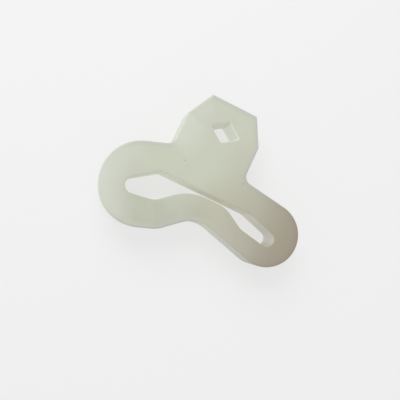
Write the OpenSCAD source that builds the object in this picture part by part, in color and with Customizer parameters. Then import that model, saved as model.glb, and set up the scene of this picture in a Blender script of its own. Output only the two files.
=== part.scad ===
// Squeeze clamp moulded in one soft elastomer.
// A six-sided head with a hanging eye stands on a wide bridge, whose flat
// underside is the fixed jaw. Two rounded lobes carry a springy arm below it,
// and the arm's middle is the press pad, shown here squeezed close to the jaw.
//
// The clamp lies flat: thickness is along Z, the jaw along X, the head at +Y.
// The origin is on the bottom face, where the head's axis meets the fixed jaw.
// Every outline is a belt: a line pulled taut round a row of discs. A disc with
// a positive radius rounds the outline outwards, one with a negative radius
// presses a hollow into it.

/* [Body] */
// Overall width across the outsides of both lobes
overall_w = 59.2; // [58:0.2:62]
// Thickness of the whole moulding
thickness = 12; // [8:0.5:20]
// Longest straight step along a round stretch
arc_step = 0.6; // [0.4:0.1:1.5]

/* [Head] */
// Width across the head's parallel sides
head_w = 22.4; // [20:0.2:24]
// Width of the flat top of the head
head_top_w = 14; // [10:0.5:18]
// Height of the flat top above the fixed jaw
head_top_y = 25.9; // [24.5:0.1:30]
// Height of the two widest corners above the fixed jaw
head_knee_y = 18; // [16:0.2:21]
// Rounding of the two top corners
crown_r = 0.6; // [0.3:0.1:2]
// Rounding of the two widest corners
knee_r = 1; // [0.4:0.1:2]

/* [Hanging eye] */
// Length of the rhombus eye, corner to corner along X
eye_w = 8.7; // [6:0.1:10]
// Height of the rhombus eye, corner to corner along Y
eye_h = 6.2; // [4:0.1:7.5]
// Height of the eye's middle above the fixed jaw
eye_y = 17.7; // [16:0.1:19.6]
// Sideways place of the eye's middle
eye_x = 0.7; // [-1.5:0.1:1.5]
// Rounding of the eye's corners
eye_r = 0.5; // [0.2:0.1:1]

/* [Shoulders] */
// Height above the jaw where the head's sides run into the shoulders
shoulder_y = 10.1; // [8.8:0.1:11.8]
// Radius of the hollow between head and shoulder
shoulder_r = 2.5; // [1.5:0.1:4]

/* [Left lobe] */
// Outer radius of the left lobe
left_lobe_r = 12; // [11:0.1:13]
// Distance of the lobe's middle from the head's axis
left_lobe_x = 14.2; // [13.5:0.1:16]
// Depth of the lobe's middle below the jaw
left_lobe_drop = 5.5; // [4.8:0.1:6.3]
// Wall between the lobe's outside and the end of the slot
left_wall = 7.65; // [6.5:0.05:8.5]

/* [Right lobe] */
// Outer radius of the right lobe, pinched smaller by the squeeze
right_lobe_r = 9.25; // [8.5:0.05:10.5]
// Depth of the lobe's middle below the jaw
right_lobe_drop = 3.2; // [2.7:0.1:3.9]
// Wall between the lobe's outside and the end of the slot
right_wall = 6.65; // [6:0.05:7.5]

/* [Slot] */
// Gap left between the press pad and the fixed jaw
jaw_gap = 1.35; // [1.3:0.05:1.8]
// Distance of the jaw's left turn from the left lobe's middle
jaw_left_x = 3.8; // [3.1:0.1:4.5]
// Distance of the jaw's right turn from the right lobe's middle
jaw_right_x = 7.3; // [6.3:0.1:8.3]
// Rounding where the jaw turns down to the left eyelet
jaw_left_r = 1.6; // [1:0.1:2.2]
// Rounding where the jaw turns down to the right eyelet
jaw_right_r = 2; // [1:0.1:2.5]
// Height of the open eyelet left of the press pad
left_slot_h = 8.3; // [7.5:0.1:9.3]
// Height of the open eyelet right of the press pad
right_slot_h = 5.3; // [4.7:0.1:5.9]
// Radius of the slot's left end
left_end_r = 2.4; // [1.8:0.1:2.9]
// Depth of the slot's left end below the jaw
left_end_drop = 6.7; // [6.1:0.1:7.2]
// Radius of the slot's right end
right_end_r = 2.1; // [1.5:0.05:2.4]
// Depth of the slot's right end below the jaw
right_end_drop = 4.4; // [4:0.1:4.8]

/* [Press pad] */
// Sideways place of the pad's middle
pad_x = 5.4; // [4.6:0.1:6]
// Width of the pad between the two springy arms
pad_w = 7; // [6.6:0.2:9]
// Width of the pad's flat that meets the jaw
contact_w = 3.9; // [3:0.1:5]
// Thickness of the pad over the finger hollow
pad_t = 6.9; // [6:0.1:8]
// Radius of the finger hollow under the pad
hollow_r = 9; // [7:0.2:10]
// Distance of the hollow's middle from the pad's middle
hollow_shift = 0.6; // [0:0.1:1.4]

/* [Arms] */
// Share of the left arm's rise that its foot's rounding takes
left_foot_share = 0.26; // [0.2:0.005:0.29]
// Distance of that foot from the left lobe's middle
left_foot_x = 2.9; // [2.3:0.1:3.3]
// Share of the left arm's rise that its crest's rounding takes
left_crest_share = 0.69; // [0.6:0.005:0.7]
// Share of the right arm's rise that its foot's rounding takes
right_foot_share = 0.305; // [0.25:0.005:0.35]
// Distance of that foot from the right lobe's middle
right_foot_x = 5.9; // [5.5:0.1:6.4]
// Share of the right arm's rise that its crest's rounding takes
right_crest_share = 0.555; // [0.45:0.005:0.6]
// Radius of the left arm's outer elbow
elbow_r = 8; // [6.5:0.1:8.6]
// Distance of the elbow's middle from the lobe's middle along X
elbow_x = 4.9; // [4.5:0.1:5.4]
// Distance of the elbow's middle below the lobe's middle
elbow_y = 2.5; // [2:0.1:3]
// Distance of the left arm's root from the left lobe's middle
left_root_x = 1.2; // [0.6:0.1:2]

/* [Hidden] */
milky_green = [0.80, 0.81, 0.74];

// Places that more than one outline or piece shares
half_w = head_w / 2;
half_top = head_top_w / 2;
left_lobe = [-left_lobe_x, -left_lobe_drop];
right_lobe = [left_lobe.x - left_lobe_r + overall_w - right_lobe_r, -right_lobe_drop];
left_end = [left_lobe.x - left_lobe_r + left_wall + left_end_r, -left_end_drop];
right_end = [right_lobe.x + right_lobe_r - right_wall - right_end_r, -right_end_drop];
crest_l = pad_x - contact_w / 2;
crest_r = pad_x + contact_w / 2;
pad_l = pad_x - pad_w / 2;
pad_r = pad_x + pad_w / 2;
left_root = left_lobe.x + left_root_x;
jaw_l = left_lobe.x + jaw_left_x;
jaw_r = right_lobe.x - jaw_right_x;
left_foot = left_lobe.x + left_foot_x;
right_foot = right_lobe.x - right_foot_x;
left_room = rise_room(crest_l - left_foot, left_slot_h - jaw_gap);
right_room = rise_room(right_foot - crest_r, right_slot_h - jaw_gap);
reach = 4 * (left_lobe_x + left_lobe_r);

// Largest sum of the two radii in a rise of the given run and height
function rise_room(run, height) = (run * run + height * height) / (2 * height);

// Unit vector from one point towards another
function heading(from, to) = (to - from) / norm(to - from);

// Disc that rounds the corner at c, on the way from a to b
function corner(a, c, b, r) =
    let (
        u = heading(a, c),
        v = heading(c, b),
        inwards = (v - u) / norm(v - u),
        half_turn = asin(norm(v - u) / 2),
        side = u.x * v.y - u.y * v.x > 0 ? 1 : -1,
        middle = c + inwards * r / cos(half_turn)
    )
    [middle.x, middle.y, side * r];

// Direction of the straight run that touches two discs, each [x, y, radius]
function run_angle(a, b) =
    let (d = [b.x - a.x, b.y - a.y])
    atan2(d.y, d.x) - asin((b.z - a.z) / norm(d));

// Turn from one direction to the next, left round a disc, right round a hollow
function turn(from, to, r) =
    let (left = (to - from) - 360 * floor((to - from) / 360))
    r < 0 ? left - 360 : left;

// Point of a disc where the outline runs in the direction t
function rim(disc, t) = [disc.x + disc.z * sin(t), disc.y - disc.z * cos(t)];

// Points of a belt pulled round the discs, anticlockwise
function belt(discs) =
    let (
        n = len(discs),
        runs = [for (i = [0 : n - 1]) run_angle(discs[i], discs[(i + 1) % n])]
    )
    [
        for (i = [0 : n - 1])
            let (
                start = runs[(i + n - 1) % n],
                sweep = turn(start, runs[i], discs[i].z),
                steps = max(2, ceil(abs(sweep * discs[i].z) * PI / 180 / arc_step))
            )
            for (k = [0 : steps]) rim(discs[i], start + sweep * k / steps)
    ];

// Outside of the whole clamp
module outside() {
    hip_l = [-half_w, shoulder_y];
    hip_r = [half_w, shoulder_y];
    knee_l = [-half_w, head_knee_y];
    knee_top_l = [-half_top, head_top_y];
    knee_top_r = [half_top, head_top_y];
    knee_r_corner = [half_w, head_knee_y];
    polygon(belt([
        corner(knee_top_r, knee_top_l, knee_l, crown_r),
        corner(knee_top_l, knee_l, hip_l, knee_r),
        [-half_w - shoulder_r, shoulder_y, -shoulder_r],
        [left_lobe.x, left_lobe.y, left_lobe_r],
        [left_lobe.x + elbow_x, left_lobe.y - elbow_y, elbow_r],
        [pad_x + hollow_shift, -jaw_gap - pad_t - hollow_r, -hollow_r],
        [right_lobe.x, right_lobe.y, right_lobe_r],
        [half_w + shoulder_r, shoulder_y, -shoulder_r],
        corner(hip_r, knee_r_corner, knee_top_r, knee_r),
        corner(knee_r_corner, knee_top_r, knee_top_l, crown_r)
    ]));
}

// Slot from lobe to lobe, pinched narrow between the press pad and the jaw
module slot() {
    left_foot_r = left_foot_share * left_room;
    left_crest_r = left_crest_share * left_room;
    right_foot_r = right_foot_share * right_room;
    right_crest_r = right_crest_share * right_room;
    polygon(belt([
        [left_end.x, left_end.y, left_end_r],
        [left_foot, left_foot_r - left_slot_h, left_foot_r],
        [crest_l, -jaw_gap - left_crest_r, -left_crest_r],
        [crest_r, -jaw_gap - right_crest_r, -right_crest_r],
        [right_foot, right_foot_r - right_slot_h, right_foot_r],
        [right_end.x, right_end.y, right_end_r],
        [jaw_r, -jaw_right_r, jaw_right_r],
        [jaw_l, -jaw_left_r, jaw_left_r]
    ]));
}

// Rhombus eye through the head
module eye() {
    tips = [
        for (a = [0 : 90 : 270])
            [eye_x + eye_w / 2 * cos(a), eye_y + eye_h / 2 * sin(a)]
    ];
    polygon(belt([
        for (i = [0 : 3]) corner(tips[(i + 3) % 4], tips[i], tips[(i + 1) % 4], eye_r)
    ]));
}

// Outline of the whole clamp with its openings
module profile() {
    difference() {
        outside();
        slot();
        eye();
    }
}

// Line that follows the slot from one end of the clamp to the other
slot_line = [
    [-reach, left_end.y], left_end, [jaw_l, -jaw_gap / 2],
    [jaw_r, -jaw_gap / 2], right_end, [reach, right_end.y]
];

// Everything on the head's side of the slot
module above_slot() {
    polygon(concat(slot_line, [[reach, reach], [-reach, reach]]));
}

// Everything on the arm's side of the slot
module below_slot() {
    polygon(concat(slot_line, [[reach, -reach], [-reach, -reach]]));
}

// Band of the plan between two places along X and two along Y
module band(x0, x1, y0 = -reach, y1 = reach) {
    translate([x0, y0]) square([x1 - x0, y1 - y0]);
}

// One piece of the clamp: the outline where it meets the given areas
module slab() {
    color(milky_green)
        linear_extrude(thickness)
            intersection() {
                profile();
                children(0);
                children(1);
            }
}

// Six-sided head with the hanging eye
module head_tab() {
    slab() {
        above_slot();
        band(-reach, reach, shoulder_y);
    }
}

// Broad middle that carries the head, with the fixed jaw as its underside
module bridge() {
    slab() {
        above_slot();
        band(-half_w, half_w, -reach, shoulder_y);
    }
}

// Upper half of the left lobe
module left_shoulder() {
    slab() {
        above_slot();
        band(-reach, -half_w);
    }
}

// Lower half of the left lobe, which springs the left arm
module left_bend() {
    slab() {
        below_slot();
        band(-reach, left_root);
    }
}

// Flexing arm from the left lobe to the press pad
module left_arm() {
    slab() {
        below_slot();
        band(left_root, pad_l);
    }
}

// Moving jaw, pressed by a thumb in the hollow below
module press_pad() {
    slab() {
        below_slot();
        band(pad_l, pad_r);
    }
}

// Flexing arm from the press pad to the right lobe
module right_arm() {
    slab() {
        below_slot();
        band(pad_r, right_end.x);
    }
}

// Lower half of the right lobe, which springs the right arm
module right_bend() {
    slab() {
        below_slot();
        band(right_end.x, reach);
    }
}

// Upper half of the right lobe
module right_shoulder() {
    slab() {
        above_slot();
        band(half_w, reach);
    }
}

head_tab();
bridge();
left_shoulder();
left_bend();
left_arm();
press_pad();
right_arm();
right_bend();
right_shoulder();
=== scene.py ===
"""Dresses the squeeze clamp: one soft moulding, shown as the regions that carry, bend and press.

Lengths are in metres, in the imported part's own axes: X runs along the fixed jaw, Y towards
the head and Z up through the thickness. The clamp lies flat on a pale table.
"""

from __future__ import annotations

import logging
import math
from collections.abc import Iterable, Mapping
from dataclasses import dataclass, field
from enum import Enum
from typing import Any

import bmesh
import bpy
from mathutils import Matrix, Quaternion, Vector
from mathutils.kdtree import KDTree


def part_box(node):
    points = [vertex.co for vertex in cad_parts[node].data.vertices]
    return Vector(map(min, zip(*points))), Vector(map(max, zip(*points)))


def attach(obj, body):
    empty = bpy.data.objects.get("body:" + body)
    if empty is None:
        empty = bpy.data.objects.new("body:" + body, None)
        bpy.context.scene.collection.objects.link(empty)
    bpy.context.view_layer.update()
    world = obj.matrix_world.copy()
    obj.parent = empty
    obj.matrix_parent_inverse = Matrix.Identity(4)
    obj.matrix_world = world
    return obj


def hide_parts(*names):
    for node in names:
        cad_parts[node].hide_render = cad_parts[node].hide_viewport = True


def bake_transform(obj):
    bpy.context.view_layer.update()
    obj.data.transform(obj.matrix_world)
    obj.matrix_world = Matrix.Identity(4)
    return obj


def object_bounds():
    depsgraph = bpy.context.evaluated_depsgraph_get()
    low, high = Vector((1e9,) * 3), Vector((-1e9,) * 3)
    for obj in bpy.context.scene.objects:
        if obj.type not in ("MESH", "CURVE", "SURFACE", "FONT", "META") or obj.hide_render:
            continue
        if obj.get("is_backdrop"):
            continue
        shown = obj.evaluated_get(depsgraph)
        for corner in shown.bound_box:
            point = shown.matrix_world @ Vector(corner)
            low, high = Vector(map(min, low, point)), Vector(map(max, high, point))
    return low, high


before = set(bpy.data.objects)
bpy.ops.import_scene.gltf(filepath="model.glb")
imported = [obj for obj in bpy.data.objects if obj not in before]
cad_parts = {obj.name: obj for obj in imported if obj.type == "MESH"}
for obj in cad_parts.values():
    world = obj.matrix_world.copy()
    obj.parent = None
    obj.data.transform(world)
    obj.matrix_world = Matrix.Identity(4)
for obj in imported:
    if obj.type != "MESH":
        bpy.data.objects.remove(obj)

LOG = logging.getLogger("squeeze_clamp")
MM = 0.001
# Points closer together than this are one point.
MERGE = 1e-6
# A face whose normal is this near to upright is flat, and one this near to level is a wall.
FLAT, UPRIGHT = 0.999, 0.001
# The way from the clamp towards the window.
WINDOW = Vector((-0.87, -0.5, 0.0))
# The share of a soft dot's radius that it fills before it fades.
DOT_CORE = 0.35

# What each skin stores for its finish.
PLACE = "moulded_place"
INSET = "distance_from_rim"
INNER = "inner_wall"
FACING = "facing_the_window"

# The layer that says how strongly each face leads the shading, and its three grades.
STRENGTH = "__mod_weightednormals_faceweight"
WEAK, MEDIUM, STRONG = -16384, 0, 16384

Colour = tuple[float, ...]
Fade = tuple[float, float]


# --------------------------------------------------------------------------------------
# Shader sums
# --------------------------------------------------------------------------------------


class Value:
    """A shader socket that Python's operators do sums on."""

    def __init__(self, graph: Graph, socket: bpy.types.NodeSocket) -> None:
        """Wraps one output socket.

        Args:
            graph: The node tree that new Math nodes go into.
            socket: The output that this value stands for.
        """
        self.graph = graph
        self.socket = socket

    def _sum(self, operation: str, *others: Value | float) -> Value:
        """Adds a Math node that starts from this value."""
        return self.graph.add("ShaderNodeMath", {"operation": operation}, (self, *others))

    def __add__(self, other: Value | float) -> Value:
        """This value plus another."""
        return self._sum("ADD", other)

    __radd__ = __add__

    def __sub__(self, other: Value | float) -> Value:
        """This value less another."""
        return self._sum("SUBTRACT", other)

    def __rsub__(self, other: float) -> Value:
        """A number less this value."""
        return self.graph.add("ShaderNodeMath", {"operation": "SUBTRACT"}, (other, self))

    def __mul__(self, other: Value | float) -> Value:
        """This value times another."""
        return self._sum("MULTIPLY", other)

    __rmul__ = __mul__

    def smooth(self, low: float, high: float) -> Value:
        """A soft step from 0 at low to 1 at high.

        Args:
            low: Where the step starts.
            high: Where it ends. It may be below low, and the step then falls.

        Returns:
            A value from 0 to 1.
        """
        falls = high < low
        ends = (high, low) if falls else (low, high)
        settings = {"interpolation_type": "SMOOTHSTEP"}
        step = self.graph.add("ShaderNodeMapRange", settings, (self, *ends, 0.0, 1.0))
        return 1.0 - step if falls else step


class Graph:
    """A material's node tree, filled by short calls."""

    def __init__(self, material: bpy.types.Material) -> None:
        """Empties the material's tree.

        Args:
            material: The material to fill.
        """
        material.use_nodes = True
        self.tree = material.node_tree
        self.tree.nodes.clear()

    def make(
        self,
        kind: str,
        settings: Mapping[str, Any] | None = None,
        inputs: Iterable[Any] | Mapping[str | int, Any] = (),
    ) -> bpy.types.Node:
        """Adds a node of any kind.

        Args:
            kind: The node's type name.
            settings: Its own settings, set before its sockets.
            inputs: Numbers, colours or values for its sockets, in order or by name or place.

        Returns:
            The new node.
        """
        node = self.tree.nodes.new(kind)
        for name, value in (settings or {}).items():
            setattr(node, name, value)
        named = inputs if isinstance(inputs, Mapping) else dict(enumerate(inputs))
        for name, value in named.items():
            if isinstance(value, Value):
                self.tree.links.new(value.socket, node.inputs[name])
            else:
                node.inputs[name].default_value = value
        return node

    def add(self, kind: str, settings: Mapping[str, Any], inputs: Any, out: int | str = 0) -> Value:
        """Adds a node and gives back one of its outputs.

        Args:
            kind: The node's type name.
            settings: Its own settings.
            inputs: What its sockets get.
            out: The output's name or place.

        Returns:
            That output.
        """
        return Value(self, self.make(kind, settings, inputs).outputs[out])

    def place(self) -> Value:
        """The point on the piece, in the part's own frame, in metres."""
        return self.add("ShaderNodeTexCoord", {}, (), "Object")

    def stored(self, name: str, out: str) -> Value:
        """A value that the mesh itself carries, so that it follows the surface as it bends.

        Args:
            name: The attribute's name.
            out: Which output to read: Vector, Color or Fac.

        Returns:
            The stored value.
        """
        return self.add("ShaderNodeAttribute", {"attribute_name": name}, (), out)

    def axes(self, vector: Value) -> tuple[Value, Value, Value]:
        """Splits a vector into its three numbers.

        Args:
            vector: The vector to split.

        Returns:
            Its X, Y and Z.
        """
        node = self.make("ShaderNodeSeparateXYZ", {}, (vector,))
        x, y, z = (Value(self, socket) for socket in node.outputs)
        return x, y, z

    def noise(self, at: Value, size: float, detail: float = 2.0, rough: float = 0.5) -> Value:
        """Soft noise whose blotches are about size wide.

        Args:
            at: Where to read it.
            size: The width of a blotch, in metres.
            detail: How many finer layers lie in it.
            rough: How strong the finer layers are.

        Returns:
            A value from 0 to 1, about a half in the middle.
        """
        inputs = {"Vector": at, "Scale": 1.0 / size, "Detail": detail, "Roughness": rough}
        return self.add("ShaderNodeTexNoise", {"normalize": True}, inputs)

    def mix(self, amount: Value | float, a: Any, b: Any) -> Value:
        """Blends two colours.

        Args:
            amount: 0 for a and 1 for b.
            a: The first colour.
            b: The second colour.

        Returns:
            The blended colour.
        """
        inputs = {0: amount, 6: a, 7: b}
        return self.add("ShaderNodeMix", {"data_type": "RGBA"}, inputs, 2)

    def near(self, at: Value, point: tuple[float, float, float], radius: float) -> Value:
        """A soft dot: 1 round its middle, falling to 0 at its radius.

        Args:
            at: Where to read it.
            point: Its middle.
            radius: How far it reaches.

        Returns:
            A value from 0 to 1.
        """
        settings = {"operation": "DISTANCE"}
        away = self.add("ShaderNodeVectorMath", settings, (at, point), "Value")
        return away.smooth(radius, radius * DOT_CORE)

    def bump(self, height: Value, distance: float, strength: float) -> Value:
        """A normal that leans with a height.

        Args:
            height: The height, from about 0 to 1.
            distance: What a height of 1 stands for, in metres.
            strength: How much of the lean shows.

        Returns:
            The normal.
        """
        inputs = {"Strength": strength, "Distance": distance, "Height": height}
        return self.add("ShaderNodeBump", {}, inputs)


def linear(red: float, green: float, blue: float) -> Colour:
    """A colour given in screen values, as the shader wants it.

    Args:
        red: The red channel, from 0 to 255.
        green: The green channel.
        blue: The blue channel.

    Returns:
        The colour in linear light, fully opaque.
    """

    def one(value: float) -> float:
        """Undoes the screen's curve for one channel."""
        share = value / 255
        return share / 12.92 if share <= 0.04045 else ((share + 0.055) / 1.055) ** 2.4

    return one(red), one(green), one(blue), 1.0


def linked(name: str, data: bpy.types.ID) -> bpy.types.Object:
    """Makes an object and links it to the scene.

    Args:
        name: The object's name.
        data: Its mesh, light or camera.

    Returns:
        The new object.
    """
    made = bpy.data.objects.new(name, data)
    bpy.context.scene.collection.objects.link(made)
    return made


# --------------------------------------------------------------------------------------
# Finishes
# --------------------------------------------------------------------------------------


@dataclass(frozen=True)
class Patch:
    """A soft round patch of colour on the top face.

    Attributes:
        across: Its middle along X.
        along: Its middle along Y.
        radius: How far it reaches.
        amount: How much of its colour shows in its middle.
    """

    across: float
    along: float
    radius: float
    amount: float


class Surface:
    """What the moulding's skins tell their finish about each point.

    Attributes:
        at: Its place in the part's own frame, before any bending.
        x: Its place along X.
        y: Its place along Y.
        z: Its height.
        depth: How far below the top face it lies.
        inset: How far it lies from the outer rim, seen from above.
        inner: 1 on the walls of the holes and 0 elsewhere.
        facing: How far the nearest wall faces the window, from 0 to 1.
    """

    def __init__(self, graph: Graph, thickness: float) -> None:
        """Reads what the skins store.

        Args:
            graph: The finish's node tree.
            thickness: The moulding's thickness.
        """
        self.at = graph.stored(PLACE, "Vector")
        self.x, self.y, self.z = graph.axes(self.at)
        self.depth = thickness - self.z
        self.inset = graph.stored(INSET, "Fac")
        self.inner = graph.stored(INNER, "Fac")
        self.facing = graph.stored(FACING, "Fac")


@dataclass(frozen=True)
class MilkyElastomer:
    """Matte, milky, slightly see-through cast elastomer.

    Light soaks into it, so its walls stay bright where a paint would be dark: a faint glow
    of its own colour on the walls stands in for that.

    A fade gives where a tone is missing and where it is full. An amount gives how much of
    it shows where it is full.
    """

    thickness: float

    body: Colour = linear(204, 208, 190)
    # Painted light: the near lobe, and in part the head, are paler, as if lit from the upper left.
    painted_light_tone: Colour = linear(211, 215, 201)
    painted_light_fade: Fade = (-14 * MM, -27 * MM)
    # Painted shade: the lower part, along the arm regions, is darker.
    arm_shade: Colour = linear(190, 191, 174)
    arm_shade_fade_x: Fade = (-28 * MM, -13 * MM)
    arm_shade_fade_y: Fade = (1 * MM, -13 * MM)
    lit_head_fade_x: Fade = (1 * MM, -9 * MM)
    lit_head_fade_y: Fade = (14 * MM, 22 * MM)
    lit_head_amount: float = 0.6
    # Painted shade and warm reflected light from the hand that held it: the far lobe is darker and
    # warmer.
    hand_shade_and_bounce: Colour = linear(162, 152, 134)
    hand_shade_fade_x: Fade = (1 * MM, 35 * MM)
    hand_shade_fade_y: Fade = (17 * MM, 4 * MM)

    cloud: Colour = linear(199, 207, 185)
    cloud_size: float = 7 * MM
    cloud_fade: Fade = (0.38, 0.66)
    cloud_amount: float = 0.4
    warm: Colour = linear(204, 202, 188)
    warm_size: float = 11 * MM
    warm_fade: Fade = (0.45, 0.7)
    warm_amount: float = 0.35

    lit_fade: Fade = (0.62, 1.0)
    lit_rim: Colour = linear(217, 222, 210)
    lit_rim_fade: Fade = (10 * MM, 0.0)
    lit_rim_amount: float = 0.75
    wall: Colour = linear(198, 199, 188)
    wall_fade: Fade = (0.3 * MM, 2 * MM)
    wall_amount: float = 0.7
    # Painted shade on the rims that face away from the window.
    shaded_rim: Colour = linear(194, 197, 189)
    side_shaded_rim: Colour = linear(204, 207, 196)
    side_fade: Fade = (0.5, 0.72)
    hand_shaded_rim: Colour = linear(155, 144, 128)
    shaded_fade: Fade = (2.2 * MM, 0.0)
    shaded_amount: float = 0.8

    glow: Colour = linear(197, 198, 189)
    window_glow: Colour = linear(205, 208, 206)
    inner_glow: float = 0.27
    inner_fade: Fade = (-0.04 * MM, 0.3 * MM)
    outer_glow: float = 0.08
    outer_fade: Fade = (0.0, 0.3 * MM)
    foot_fade: Fade = (0.0, 0.4 * MM)
    lit_glow: float = 0.15

    grain: Colour = linear(228, 230, 220)
    grain_size: float = 0.5 * MM
    grain_fade: Fade = (0.3, 0.75)
    grain_amount: float = 0.05
    # Painted shade and warm reflected light from the fingers, in soft patches.
    finger_shade_and_bounce: Colour = linear(174, 157, 132)
    finger_shade_patches: tuple[Patch, ...] = (
        Patch(9 * MM, -4 * MM, 13 * MM, 0.24),
        Patch(12 * MM, 12 * MM, 10 * MM, 0.12),
    )
    speck: Colour = linear(120, 112, 92)
    specks: tuple[Patch, ...] = (
        Patch(11.4 * MM, 6.8 * MM, 0.26 * MM, 0.75),
        Patch(-6.3 * MM, 5.6 * MM, 0.22 * MM, 0.75),
    )

    roughness: float = 0.52
    cloud_roughness: float = 0.06
    grain_roughness: float = 0.1
    refractive_index: float = 1.41
    specular_level: float = 0.4
    wave_size: float = 5 * MM
    wave_height: float = 0.6
    grain_height: float = 0.12
    tooth_size: float = 0.16 * MM
    tooth_height: float = 0.05
    relief_height: float = 0.1 * MM
    relief_strength: float = 0.35

    def build(self) -> bpy.types.Material:
        """Makes the material.

        Returns:
            The finished material, which every region of the moulding shares.
        """
        material = bpy.data.materials.new("milky_elastomer")
        graph = Graph(material)
        surface = Surface(graph, self.thickness)
        clouds = graph.noise(surface.at, self.cloud_size, detail=3.0, rough=0.55)
        clouds = clouds.smooth(*self.cloud_fade)
        grain = graph.noise(surface.at, self.grain_size, detail=4.0, rough=0.6)
        lit = surface.facing.smooth(*self.lit_fade)
        # How far each point lies in the hand's painted shade.
        far = surface.x.smooth(*self.hand_shade_fade_x) * surface.y.smooth(*self.hand_shade_fade_y)
        colour = self.body_tones(graph, surface, clouds)
        colour = self.light_tones(graph, surface, lit, colour)
        colour = self.paint_hand_shade(graph, surface, far, colour)
        colour = self.shaded_tones(graph, surface, lit, far, colour)
        colour = graph.mix(grain.smooth(*self.grain_fade) * self.grain_amount, colour, self.grain)
        colour = self.dab(graph, surface, self.specks, self.speck, colour)
        mottle = (clouds - 0.5) * self.cloud_roughness + (grain - 0.5) * self.grain_roughness
        skin = {
            "Base Color": colour,
            "Roughness": self.roughness + mottle,
            "IOR": self.refractive_index,
            "Specular IOR Level": self.specular_level,
            "Emission Color": self.soaked_light(graph, surface, lit),
            "Emission Strength": 1.0,
            "Normal": self.relief(graph, surface, grain),
        }
        shader = graph.add("ShaderNodeBsdfPrincipled", {}, skin)
        graph.make("ShaderNodeOutputMaterial", {}, {"Surface": shader})
        material.diffuse_color = self.body
        return material

    def body_tones(self, graph: Graph, surface: Surface, clouds: Value) -> Value:
        """The milky body, faintly clouded, with painted light that pales the near lobe and the head,
        and painted shade that darkens each arm towards the bottom.

        Args:
            graph: The node tree.
            surface: What the skins store.
            clouds: Where the greener clouds lie.

        Returns:
            The colour.
        """
        x, y = surface.x, surface.y
        colour = graph.mix(x.smooth(*self.painted_light_fade), self.body, self.painted_light_tone)
        # Painted shade, darker towards the bottom.
        arm_shade = y.smooth(*self.arm_shade_fade_y) * x.smooth(*self.arm_shade_fade_x)
        colour = graph.mix(arm_shade, colour, self.arm_shade)
        # Painted light from the upper left pales the head.
        head = x.smooth(*self.lit_head_fade_x) * y.smooth(*self.lit_head_fade_y)
        colour = graph.mix(head * self.lit_head_amount, colour, self.painted_light_tone)
        colour = graph.mix(clouds * self.cloud_amount, colour, self.cloud)
        warm = graph.noise(surface.at, self.warm_size).smooth(*self.warm_fade)
        return graph.mix(warm * self.warm_amount, colour, self.warm)

    def light_tones(self, graph: Graph, surface: Surface, lit: Value, colour: Value) -> Value:
        """Lightens the rims on the window's side and evens out the walls.

        Args:
            graph: The node tree.
            surface: What the skins store.
            lit: How far each point faces the window.
            colour: The colour so far.

        Returns:
            The new colour.
        """
        rim = surface.inset.smooth(*self.lit_rim_fade) * lit
        colour = graph.mix(rim * self.lit_rim_amount, colour, self.lit_rim)
        wall = surface.depth.smooth(*self.wall_fade)
        return graph.mix(wall * self.wall_amount, colour, self.wall)

    def paint_hand_shade(self, graph: Graph, surface: Surface, far: Value, colour: Value) -> Value:
        """Paints the hand's shade and its warm reflected light on the far lobe, and in soft patches
        where the fingers held it.

        Args:
            graph: The node tree.
            surface: What the skins store.
            far: How far each point lies towards the far lobe.
            colour: The colour so far.

        Returns:
            The new colour.
        """
        colour = graph.mix(far, colour, self.hand_shade_and_bounce)
        return self.dab(graph, surface, self.finger_shade_patches, self.finger_shade_and_bounce, colour)

    def shaded_tones(
        self, graph: Graph, surface: Surface, lit: Value, far: Value, colour: Value
    ) -> Value:
        """Paints shade on the rims that face away from the window: lighter where they face it
        side-on, darker and warmer in the hand's painted shade.

        Args:
            graph: The node tree.
            surface: What the skins store.
            lit: How far each point faces the window.
            far: How far each point lies towards the far lobe.
            colour: The colour so far.

        Returns:
            The new colour.
        """
        side = surface.facing.smooth(*self.side_fade)
        rim = graph.mix(side, self.shaded_rim, self.side_shaded_rim)
        rim = graph.mix(far, rim, self.hand_shaded_rim)
        mask = surface.inset.smooth(*self.shaded_fade) * (1.0 - lit)
        return graph.mix(mask * self.shaded_amount, colour, rim)

    def dab(
        self,
        graph: Graph,
        surface: Surface,
        patches: Iterable[Patch],
        tone: Colour,
        colour: Value,
    ) -> Value:
        """Dabs soft patches of one tone on the top face.

        Args:
            graph: The node tree.
            surface: What the skins store.
            patches: Where they lie.
            tone: Their colour.
            colour: The colour so far.

        Returns:
            The new colour.
        """
        for patch in patches:
            middle = (patch.across, patch.along, self.thickness)
            mask = graph.near(surface.at, middle, patch.radius)
            colour = graph.mix(mask * patch.amount, colour, tone)
        return colour

    def soaked_light(self, graph: Graph, surface: Surface, lit: Value) -> Value:
        """The faint glow of the walls, stronger inside the holes and towards the window.

        Args:
            graph: The node tree.
            surface: What the skins store.
            lit: How far each point faces the window.

        Returns:
            The glow's colour, black on the flat faces.
        """
        inner, depth = surface.inner, surface.depth
        inner_wall = inner * depth.smooth(*self.inner_fade)
        above_foot = surface.z.smooth(*self.foot_fade)
        outer_wall = (1.0 - inner) * depth.smooth(*self.outer_fade) * above_foot
        share = inner_wall * self.inner_glow + outer_wall * self.outer_glow
        share = share + (inner_wall + outer_wall) * lit * self.lit_glow
        glow = graph.mix(lit, self.glow, self.window_glow)
        return graph.mix(share, (0.0, 0.0, 0.0, 1.0), glow)

    def relief(self, graph: Graph, surface: Surface, grain: Value) -> Value:
        """The cast face's soft waves, grain and fine tooth.

        Args:
            graph: The node tree.
            surface: What the skins store.
            grain: The noise that the colour's grain uses too.

        Returns:
            The bumped normal.
        """
        waves = graph.noise(surface.at, self.wave_size, rough=0.4)
        tooth = graph.noise(surface.at, self.tooth_size)
        height = waves * self.wave_height + grain * self.grain_height
        height = height + tooth * self.tooth_height
        return graph.bump(height, self.relief_height, self.relief_strength)


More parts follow.
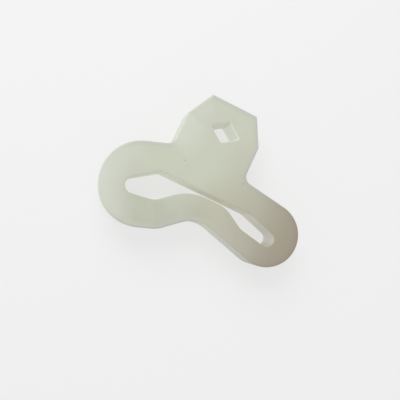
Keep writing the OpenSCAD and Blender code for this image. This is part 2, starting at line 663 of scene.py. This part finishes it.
@dataclass(frozen=True)
class PaleTable:
    """Plain pale table top with a very faint tooth."""

    colour: Colour = linear(139, 139, 139)
    glow: Colour = (1.0, 1.0, 1.0, 1.0)
    glow_strength: float = 0.62
    roughness: float = 0.7
    tooth_size: float = 1.2 * MM
    tooth_height: float = 0.05 * MM
    tooth_strength: float = 0.05

    def build(self) -> bpy.types.Material:
        """Makes the material.

        Returns:
            The finished material.
        """
        material = bpy.data.materials.new("pale_table")
        graph = Graph(material)
        tooth = graph.noise(graph.place(), self.tooth_size, detail=3.0)
        skin = {
            "Base Color": self.colour,
            "Roughness": self.roughness,
            "Emission Color": self.glow,
            "Emission Strength": self.glow_strength,
            "Normal": graph.bump(tooth, self.tooth_height, self.tooth_strength),
        }
        shader = graph.add("ShaderNodeBsdfPrincipled", {}, skin)
        graph.make("ShaderNodeOutputMaterial", {}, {"Surface": shader})
        return material


# --------------------------------------------------------------------------------------
# The moulding
# --------------------------------------------------------------------------------------


class Side(Enum):
    """A side of a region's box where it runs on into its neighbour.

    Its value is the axis, 0 for X and 1 for Y, and the corner, 0 for low and 1 for high.
    """

    LEFT = (0, 0)
    RIGHT = (0, 1)
    FRONT = (1, 0)
    BACK = (1, 1)

    def point(self, node: str) -> Vector:
        """A point on that side of the node's box."""
        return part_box(node)[self.value[1]]

    def outwards(self) -> Vector:
        """The direction that points out of the box there.

        Returns:
            A vector of length 1.
        """
        normal = Vector((0.0, 0.0, 0.0))
        normal[self.value[0]] = 1.0 if self.value[1] else -1.0
        return normal

    def holds(self, node: str, vertex: bmesh.types.BMVert) -> bool:
        """Whether a vertex lies on that side of the node's box."""
        return abs((vertex.co - self.point(node)).dot(self.outwards())) < MERGE


class Rim(Enum):
    """The three rims that run round the moulding's faces, longest first."""

    OUTSIDE = 0
    SLOT = 1
    EYE = 2


@dataclass(frozen=True)
class Region:
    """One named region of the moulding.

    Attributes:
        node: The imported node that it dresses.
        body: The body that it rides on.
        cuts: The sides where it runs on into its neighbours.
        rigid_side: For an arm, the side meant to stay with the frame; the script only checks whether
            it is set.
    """

    node: str
    body: str
    cuts: tuple[Side, ...]
    rigid_side: Side | None = None


REGIONS = (
    Region("head_tab", "frame", (Side.FRONT,)),
    Region("bridge", "frame", (Side.LEFT, Side.RIGHT, Side.BACK)),
    Region("left_shoulder", "frame", (Side.RIGHT, Side.FRONT)),
    Region("left_bend", "frame", (Side.RIGHT, Side.BACK)),
    Region("left_arm", "frame", (Side.LEFT, Side.RIGHT), Side.LEFT),
    Region("press_pad", "pad", (Side.LEFT, Side.RIGHT)),
    Region("right_arm", "frame", (Side.LEFT, Side.RIGHT), Side.RIGHT),
    Region("right_bend", "frame", (Side.LEFT, Side.BACK)),
    Region("right_shoulder", "frame", (Side.LEFT, Side.FRONT)),
)


class RimTree:
    """Points along rims, seen from above, with the way that the wall below each one faces.

    Attributes:
        spacing: How far apart the points are at most.
        facing: How far the wall faces the window at each point, from 0 to 1.
        tree: The points, ready to be looked up.
    """

    spacing: float = 0.15 * MM

    def __init__(self, edges: list[bmesh.types.BMEdge]) -> None:
        """Notes points along the edges.

        Args:
            edges: The rims' edges, each between a flat face and a wall.
        """
        points = []
        self.facing = []
        for edge in edges:
            wall = min(edge.link_faces, key=lambda face: abs(face.normal.z))
            start, end = (vertex.co.to_2d().to_3d() for vertex in edge.verts)
            steps = max(1, math.ceil((end - start).length / self.spacing))
            points += [start.lerp(end, step / steps) for step in range(steps)]
            self.facing += [(1 + wall.normal.dot(WINDOW)) / 2] * steps
        self.tree = KDTree(len(points))
        for number, point in enumerate(points):
            self.tree.insert(point, number)
        self.tree.balance()

    def nearest(self, place: Vector) -> tuple[float, float]:
        """Looks up the rim point nearest to a place.

        Args:
            place: Any point of the moulding.

        Returns:
            How far away it is, seen from above, and how far the wall below it faces the
            window, from 0 to 1.
        """
        _, number, gap = self.tree.find(place.to_2d().to_3d())
        return gap, self.facing[number]


@dataclass
class Moulding:
    """The whole clamp body, made once and then divided into its regions.

    Attributes:
        finish: The material of every region.
        rim_radius: How wide each rim is rounded.
        rim_steps: How many facets a round has.
        cell: The spacing of the lines that are added for bends and soft rims.
        straight: The turn below which two faces count as one flat stretch.
        rims: The outer rims and the holes' rims, looked up for the finish.
    """

    finish: bpy.types.Material
    rim_radius: dict[Rim, float] = field(
        default_factory=lambda: {Rim.OUTSIDE: 0.5 * MM, Rim.SLOT: 0.25 * MM, Rim.EYE: 0.5 * MM}
    )
    rim_steps: int = 4
    cell: float = 1.2 * MM
    straight: float = math.radians(0.3)
    rims: list[RimTree] = field(default_factory=list)

    def build(self) -> list[bpy.types.Object]:
        """Makes every region's piece.

        Returns:
            The pieces, in the order of REGIONS.
        """
        whole = self.join()
        loops = self.rim_loops(whole)
        # The first two loops run round the outside of both faces and the others round the holes.
        self.rims = [
            RimTree([edge for loop in part for edge in loop]) for part in (loops[:2], loops[2:])
        ]
        self.round_rims(whole, loops)
        self.add_lines(whole)
        pieces = [self.piece(whole, region) for region in REGIONS]
        whole.free()
        return pieces

    def join(self) -> bmesh.types.BMesh:
        """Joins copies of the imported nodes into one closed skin, without the faces where they meet.

        Returns:
            The skin, with flat stretches dissolved into single faces.
        """
        whole = bmesh.new()
        for region in REGIONS:
            whole.from_mesh(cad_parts[region.node].data)
        bmesh.ops.remove_doubles(whole, verts=whole.verts, dist=MERGE)
        inner = [
            face
            for face in whole.faces
            if any(
                all(side.holds(region.node, vertex) for vertex in face.verts)
                and self.between(face, region)
                for region in REGIONS
                for side in region.cuts
            )
        ]
        bmesh.ops.delete(whole, geom=inner, context="FACES_ONLY")
        loose = [edge for edge in whole.edges if not edge.link_faces]
        bmesh.ops.delete(whole, geom=loose, context="EDGES")
        bmesh.ops.dissolve_limit(
            whole, angle_limit=self.straight, verts=whole.verts, edges=whole.edges
        )
        return whole

    @staticmethod
    def between(face: bmesh.types.BMFace, region: Region) -> bool:
        """Whether a face lies within the box of a region's node.

        Args:
            face: The face.
            region: The region.

        Returns:
            True where the face's middle is in the box or on its sides.
        """
        low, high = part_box(region.node)
        middle = face.calc_center_median()
        return all(low[i] - MERGE <= middle[i] <= high[i] + MERGE for i in range(3))

    def round_rims(
        self, whole: bmesh.types.BMesh, loops: list[list[bmesh.types.BMEdge]]
    ) -> None:
        """Rounds every rim of both faces.

        Args:
            whole: The joined skin.
            loops: Its rims' loops of edges, longest first, two for each rim.
        """
        for place, loop in enumerate(loops):
            bmesh.ops.bevel(
                whole,
                geom=loop,
                offset=self.rim_radius[Rim(place // 2)],
                offset_type="OFFSET",
                segments=self.rim_steps,
                profile=0.5,
                affect="EDGES",
                material=-1,
                clamp_overlap=True,
            )

    def add_lines(self, whole: bmesh.types.BMesh) -> None:
        """Adds a line every cell along X and along Y, for smooth bends and soft rims.

        Args:
            whole: The rounded skin.
        """
        low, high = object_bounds()
        for axis in (0, 1):
            across = Vector((0.0, 0.0, 0.0))
            across[axis] = 1.0
            span = high[axis] - low[axis]
            count = round(span / self.cell)
            for number in range(1, count):
                geom = [*whole.verts, *whole.edges, *whole.faces]
                point = across * (low[axis] + span * number / count)
                bmesh.ops.bisect_plane(
                    whole, geom=geom, dist=MERGE, plane_co=point, plane_no=across
                )

    @staticmethod
    def rim_loops(whole: bmesh.types.BMesh) -> list[list[bmesh.types.BMEdge]]:
        """Finds the closed loops of edges between a flat face and a wall.

        Args:
            whole: The joined skin.

        Returns:
            One list of edges for each loop, longest first, two for each rim.
        """
        whole.normal_update()
        rims = {
            edge
            for edge in whole.edges
            if len(edge.link_faces) == 2
            and sorted(round(abs(face.normal.z)) for face in edge.link_faces) == [0, 1]
        }
        loops = []
        while rims:
            loop = [rims.pop()]
            for edge in loop:
                ahead = {e for v in edge.verts for e in v.link_edges if e in rims}
                rims -= ahead
                loop.extend(ahead)
            loops.append(loop)
        return sorted(loops, key=lambda loop: -sum(edge.calc_length() for edge in loop))

    def piece(self, whole: bmesh.types.BMesh, region: Region) -> bpy.types.Object:
        """Cuts one region out of the whole skin and dresses it.

        Args:
            whole: The rounded skin. It stays as it is.
            region: The region to cut out.

        Returns:
            The finished piece, on its body unless it is an arm.
        """
        part = whole.copy()
        for side in region.cuts:
            self.cut(part, side.point(region.node), side.outwards())
        self.keep_own(part, region)
        self.store(part)
        mesh = bpy.data.meshes.new(f"{region.node}_skin")
        part.to_mesh(mesh)
        part.free()
        mesh.materials.append(self.finish)
        piece = linked(f"{region.node}_skin", mesh)
        shading = piece.modifiers.new("even_shading", "WEIGHTED_NORMAL")
        shading.keep_sharp = True
        shading.use_face_influence = True
        self.attach(piece, region)
        LOG.info("%s: %d faces", piece.name, len(mesh.polygons))
        return piece

    @staticmethod
    def cut(part: bmesh.types.BMesh, point: Vector, outwards: Vector) -> None:
        """Cuts away what lies past a plane, and any wall in it, and closes the cut.

        Args:
            part: The mesh to cut.
            point: A point on the plane.
            outwards: The direction that is cut away.
        """
        geom = [*part.verts, *part.edges, *part.faces]
        bmesh.ops.bisect_plane(
            part, geom=geom, dist=MERGE, plane_co=point, plane_no=outwards, clear_outer=True
        )
        in_plane = [
            face
            for face in part.faces
            if all(abs((vertex.co - point).dot(outwards)) < MERGE for vertex in face.verts)
        ]
        bmesh.ops.delete(part, geom=in_plane, context="FACES")
        open_edges = [edge for edge in part.edges if edge.is_boundary]
        filled = bmesh.ops.holes_fill(part, edges=open_edges, sides=0)
        for face in filled["faces"]:
            for edge in face.edges:
                edge.smooth = False

    @staticmethod
    def keep_own(part: bmesh.types.BMesh, region: Region) -> None:
        """Keeps the connected shell whose box is the node's own and deletes the others.

        Args:
            part: The mesh after its cuts.
            region: The region that it is for.
        """
        low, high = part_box(region.node)
        left = set(part.verts)
        shells = []
        while left:
            shell = [left.pop()]
            for vertex in shell:
                ahead = {e.other_vert(vertex) for e in vertex.link_edges} & left
                left -= ahead
                shell.extend(ahead)
            shells.append(shell)

        def misfit(shell: list[bmesh.types.BMVert]) -> float:
            """How far a shell's box is from the node's."""
            return sum(
                abs(min(v.co[i] for v in shell) - low[i])
                + abs(max(v.co[i] for v in shell) - high[i])
                for i in range(3)
            )

        own = min(shells, key=misfit)
        others = [vertex for shell in shells if shell is not own for vertex in shell]
        bmesh.ops.delete(part, geom=others, context="VERTS")

    def store(self, part: bmesh.types.BMesh) -> None:
        """Stores what the finish and the shading read from the mesh.

        The flat faces lead the shading and the narrow rounds follow it.

        Args:
            part: A region's mesh, cut to its own shape.
        """
        place = part.verts.layers.float_vector.new(PLACE)
        inset, inner, facing = (
            part.verts.layers.float.new(name) for name in (INSET, INNER, FACING)
        )
        low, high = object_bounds()
        for vertex in part.verts:
            (outer_gap, outer_facing), (inner_gap, inner_facing) = (
                rim.nearest(vertex.co) for rim in self.rims
            )
            in_face = min(vertex.co.z - low.z, high.z - vertex.co.z) < MERGE
            by_hole = inner_gap < outer_gap and not in_face
            vertex[place] = vertex.co
            vertex[inset] = outer_gap
            vertex[inner] = float(by_hole)
            vertex[facing] = inner_facing if by_hole else outer_facing
        strength = part.faces.layers.int.new(STRENGTH)
        part.normal_update()
        for face in part.faces:
            face.smooth = True
            tilt = abs(face.normal.z)
            face[strength] = STRONG if tilt > FLAT else MEDIUM if tilt < UPRIGHT else WEAK

    def attach(self, piece: bpy.types.Object, region: Region) -> None:
        """Fixes a piece to its body or, for an arm, bakes its place into its mesh and leaves it
        loose.

        Args:
            piece: The finished piece.
            region: Its region.
        """
        if region.rigid_side:
            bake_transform(piece)
        else:
            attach(piece, region.body)
        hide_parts(region.node)


# --------------------------------------------------------------------------------------
# Table, light and camera
# --------------------------------------------------------------------------------------


@dataclass(frozen=True)
class Softbox:
    """A square soft light.

    Attributes:
        name: The light's name.
        place: Where it stands.
        aim: The point that it faces.
        side: The length of its side.
        power: Its power in watts.
    """

    name: str
    place: tuple[float, float, float]
    aim: tuple[float, float, float]
    side: float
    power: float

    def build(self) -> bpy.types.Object:
        """Makes the light.

        Returns:
            The light, turned towards its aim.
        """
        data = bpy.data.lights.new(self.name, "AREA")
        data.shape = "SQUARE"
        data.size = self.side
        data.energy = self.power
        light = linked(self.name, data)
        light.location = self.place
        towards = Vector(self.aim) - Vector(self.place)
        light.rotation_mode = "QUATERNION"
        light.rotation_quaternion = towards.to_track_quat("-Z", "Y")
        return light


@dataclass(frozen=True)
class Viewpoint:
    """The camera: above the clamp, a little tilted, turned about its own axis.

    Attributes:
        aim: The point in the middle of the view.
        distance: How far the camera is from it.
        azimuth: The way round the clamp, in degrees, from in front of the pad.
        elevation: The height above the table, in degrees.
        roll: The turn about the line of sight, in degrees.
        lens_mm: The focal length.
        sensor_mm: The width of the sensor.
        nearest: Where the view starts.
        farthest: Where it ends.
    """

    aim: tuple[float, float, float] = (2.2 * MM, -2.6 * MM, 12.0 * MM)
    distance: float = 173 * MM
    azimuth: float = -54.74
    elevation: float = 80.46
    roll: float = -24.97
    lens_mm: float = 55.98
    sensor_mm: float = 36.0
    nearest: float = 10 * MM
    farthest: float = 20.0

    def build(self) -> bpy.types.Object:
        """Makes the camera and hands it to the scene.

        Returns:
            The camera.
        """
        data = bpy.data.cameras.new("view")
        data.lens = self.lens_mm
        data.sensor_width = self.sensor_mm
        data.clip_start = self.nearest
        data.clip_end = self.farthest
        turn, tilt = math.radians(self.azimuth), math.radians(self.elevation)
        back = Vector(
            (math.sin(turn) * math.cos(tilt), -math.cos(turn) * math.cos(tilt), math.sin(tilt))
        )
        upright = (Vector((0.0, 1.0, 0.0)) - back * back.y).normalized()
        upright.rotate(Quaternion(-back, math.radians(self.roll)))
        camera = linked("view", data)
        camera.rotation_mode = "QUATERNION"
        camera.rotation_quaternion = self.turned(upright, back)
        camera.location = Vector(self.aim) + back * self.distance
        bpy.context.scene.camera = camera
        return camera

    @staticmethod
    def turned(upright: Vector, back: Vector) -> Quaternion:
        """The turn that points the camera's own Y up in the picture and its own Z backwards.

        Args:
            upright: The way up in the picture.
            back: The way from the aim to the camera.

        Returns:
            The turn.
        """
        first = back.to_track_quat("Z", "Y")
        upright_now = first @ Vector((0.0, 1.0, 0.0))
        angle = math.atan2(back.dot(upright_now.cross(upright)), upright_now.dot(upright))
        return Quaternion(back, angle) @ first


@dataclass
class Studio:
    """The table, the light and the camera."""

    table_side: float = 3.0
    sky: tuple[float, float, float, float] = (1.0, 1.0, 1.0, 1.0)
    sky_strength: float = 0.60
    lights: tuple[Softbox, ...] = (
        Softbox("key", (-0.20, 0.22, 0.34), (0.0, 0.0, 0.0), 0.30, 0.85),
        Softbox("fill", (0.45, -0.25, 0.70), (0.0, 0.0, 0.0), 0.80, 0.7),
    )

    def build(self) -> None:
        """Makes the table, the sky, the lights and the camera."""
        self.table()
        self.world()
        for light in self.lights:
            light.build()
        Viewpoint().build()
        bpy.context.scene.view_settings.view_transform = "Standard"

    def table(self) -> bpy.types.Object:
        """Makes the table top under the clamp.

        Returns:
            The table, which is not a piece of the part.
        """
        top = bmesh.new()
        bmesh.ops.create_grid(top, x_segments=1, y_segments=1, size=self.table_side / 2)
        mesh = bpy.data.meshes.new("table")
        top.to_mesh(mesh)
        top.free()
        mesh.materials.append(PaleTable().build())
        table = linked("table", mesh)
        table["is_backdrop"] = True
        return table

    def world(self) -> None:
        """Makes an even pale sky."""
        world = bpy.data.worlds.new("soft_sky")
        world.use_nodes = True
        sky = world.node_tree.nodes["Background"]
        sky.inputs["Color"].default_value = self.sky
        sky.inputs["Strength"].default_value = self.sky_strength
        bpy.context.scene.world = world


def main() -> None:
    """Builds the studio and the moulding, and notes the sizes."""
    logging.basicConfig(level=logging.INFO, format="%(name)s: %(message)s")
    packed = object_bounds()
    Studio().build()
    thickness = packed[1].z - packed[0].z
    finish = MilkyElastomer(thickness).build()
    pieces = Moulding(finish).build()
    LOG.info("%d regions dressed", len(pieces))


if __name__ == "__main__":
    main()
